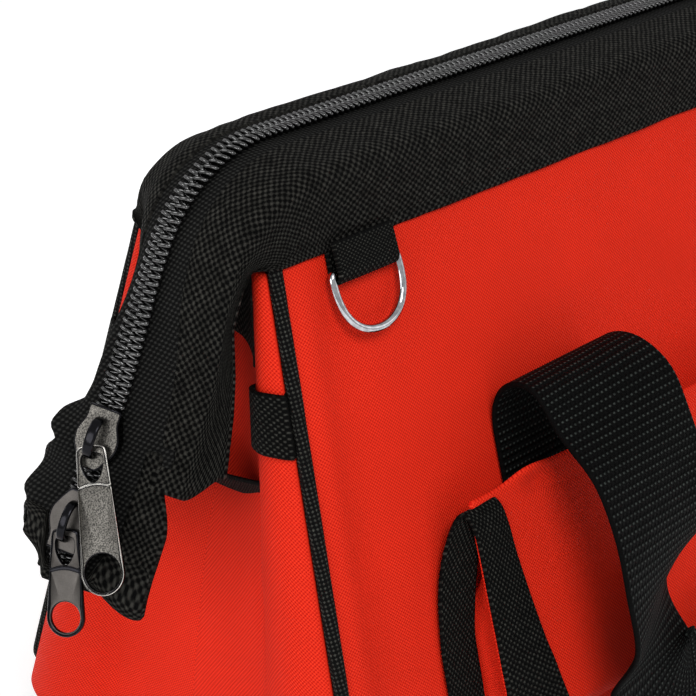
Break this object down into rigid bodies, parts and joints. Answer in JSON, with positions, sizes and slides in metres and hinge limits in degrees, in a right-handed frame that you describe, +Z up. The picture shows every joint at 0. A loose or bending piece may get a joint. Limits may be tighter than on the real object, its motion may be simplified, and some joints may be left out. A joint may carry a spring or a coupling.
{
  "type": "zippered tool bag",
  "caption": "Wide-mouth cloth tool bag with a zip that runs over both ends, paired sliders, D-rings, webbing handles and bellows pockets; its sides open and its handles lift.",
  "frame": {"origin": "centre of the base's underside, on the floor", "axes": "+Z up, +X along the bag towards the end without sliders, -Y towards the front"},
  "size_m": [0.5472, 0.2264, 0.2396],
  "materials": {
    "red_cloth": "woven polyester, matt",
    "black_cloth": "coarse woven polyester, matt",
    "piping": "corded cloth edge, matt",
    "webbing": "ribbed webbing, matt",
    "edge_tape": "woven tape, matt",
    "zip_tape": "fine twill, matt",
    "zip_coil": "nylon coil, satin",
    "slider_metal": "black nickel, satin",
    "ring_steel": "bright plated",
    "boot": "coated cloth, matt",
    "board": "plain"
  },
  "bodies": {
    "bag": {"base_boot": "boot", "base_board": "board", "tail_zip_left": "zip_tape", "tail_cap_left": "edge_tape", "end_panel_left": "red_cloth", "end_strap_left": "webbing", "front_ear_left": "black_cloth", "front_ear_zip_left": "zip_tape", "back_ear_left": "black_cloth", "back_ear_zip_left": "zip_tape", "tail_zip_right": "zip_tape", "tail_cap_right": "edge_tape", "end_panel_right": "red_cloth", "end_strap_right": "webbing", "front_ear_right": "black_cloth", "front_ear_zip_right": "zip_tape", "back_ear_right": "black_cloth", "back_ear_zip_right": "zip_tape"},
    "front_side": {"front_panel": "red_cloth", "front_piping": "piping", "front_mouth_band": "black_cloth", "front_zip_tape": "zip_tape", "front_zip_coil": "zip_coil", "front_pocket": "red_cloth", "front_pocket_binding_left": "edge_tape", "front_ring_tab_left": "webbing", "front_handle_root_left": "webbing", "front_pocket_binding_right": "edge_tape", "front_ring_tab_right": "webbing", "front_handle_root_right": "webbing"},
    "front_handle_crests": {"front_handle_crest_left": "webbing", "front_handle_crest_right": "webbing"},
    "front_handle_loop": {"front_handle": "webbing"},
    "front_ring_left": {"front_ring_left": "ring_steel"},
    "front_ring_right": {"front_ring_right": "ring_steel"},
    "back_side": {"back_panel": "red_cloth", "back_piping": "piping", "back_mouth_band": "black_cloth", "back_zip_tape": "zip_tape", "back_zip_coil": "zip_coil", "back_pocket": "red_cloth", "back_pocket_binding_left": "edge_tape", "back_ring_tab_left": "webbing", "back_handle_root_left": "webbing", "back_pocket_binding_right": "edge_tape", "back_ring_tab_right": "webbing", "back_handle_root_right": "webbing"},
    "back_handle_crests": {"back_handle_crest_left": "webbing", "back_handle_crest_right": "webbing"},
    "back_handle_loop": {"back_handle": "webbing"},
    "back_ring_left": {"back_ring_left": "ring_steel"},
    "back_ring_right": {"back_ring_right": "ring_steel"},
    "upper_slider": {"upper_slider": "slider_metal"},
    "upper_puller": {"upper_puller": "slider_metal"},
    "lower_slider": {"lower_slider": "slider_metal"},
    "lower_puller": {"lower_puller": "slider_metal"}
  },
  "joints": [
    {"name": "front_side_hinge", "type": "hinge", "parent": "bag", "child": "front_side", "pos_m": [0, -0.08526, 0.018], "axis": [1, 0, 0], "range_deg": [0, 14], "deforming": ["front_ear_left", "front_ear_right", "front_ear_zip_left", "front_ear_zip_right", "end_panel_left", "end_panel_right", "end_strap_left", "end_strap_right"]},
    {"name": "front_handle_lift", "type": "hinge", "parent": "front_side", "child": "front_handle_crests", "pos_m": [0, -0.05072, 0.14439], "axis": [-1, 0, 0], "range_deg": [0, 76]},
    {"name": "front_handle_unfold", "type": "hinge", "parent": "front_handle_crests", "child": "front_handle_loop", "pos_m": [0, -0.07472, 0.15142], "axis": [-1, 0, 0], "range_deg": [0, 76]},
    {"name": "front_ring_left_swing", "type": "hinge", "parent": "front_side", "child": "front_ring_left", "pos_m": [-0.168, -0.03476, 0.20242], "axis": [-1, 0, 0], "range_deg": [0, 130]},
    {"name": "front_ring_right_swing", "type": "hinge", "parent": "front_side", "child": "front_ring_right", "pos_m": [0.168, -0.03476, 0.20242], "axis": [-1, 0, 0], "range_deg": [0, 130]},
    {"name": "back_side_hinge", "type": "hinge", "parent": "bag", "child": "back_side", "pos_m": [0, 0.08526, 0.018], "axis": [-1, 0, 0], "range_deg": [0, 14], "deforming": ["back_ear_left", "back_ear_right", "back_ear_zip_left", "back_ear_zip_right"]},
    {"name": "back_handle_lift", "type": "hinge", "parent": "back_side", "child": "back_handle_crests", "pos_m": [0, 0.05072, 0.14439], "axis": [1, 0, 0], "range_deg": [0, 76]},
    {"name": "back_handle_unfold", "type": "hinge", "parent": "back_handle_crests", "child": "back_handle_loop", "pos_m": [0, 0.07472, 0.15142], "axis": [1, 0, 0], "range_deg": [0, 76]},
    {"name": "back_ring_left_swing", "type": "hinge", "parent": "back_side", "child": "back_ring_left", "pos_m": [-0.168, 0.03476, 0.20242], "axis": [1, 0, 0], "range_deg": [0, 130]},
    {"name": "back_ring_right_swing", "type": "hinge", "parent": "back_side", "child": "back_ring_right", "pos_m": [0.168, 0.03476, 0.20242], "axis": [1, 0, 0], "range_deg": [0, 130]},
    {"name": "upper_slider_run", "type": "slide", "parent": "bag", "child": "upper_slider", "axis": [0.4384, 0, 0.8988], "range_m": [0, 0.016]},
    {"name": "upper_puller_swing", "type": "hinge", "parent": "upper_slider", "child": "upper_puller", "pos_m": [-0.25026, -0.00279, 0.15807], "axis": [-0.5274, 0.8247, -0.2041], "range_deg": [0, 120]},
    {"name": "lower_slider_run", "type": "slide", "parent": "bag", "child": "lower_slider", "axis": [0.4384, 0, 0.8988], "range_m": [-0.004, 0]},
    {"name": "lower_puller_swing", "type": "hinge", "parent": "lower_slider", "child": "lower_puller", "pos_m": [-0.26187, -0.00279, 0.13425], "axis": [-0.4804, 0.8754, -0.0537], "range_deg": [0, 95]}
  ],
  "couplings": [
    {"joint": "back_side_hinge", "follows": "front_side_hinge", "ratio": 1},
    {"joint": "front_handle_unfold", "follows": "front_handle_lift", "ratio": 1},
    {"joint": "back_handle_unfold", "follows": "back_handle_lift", "ratio": 1}
  ]
}
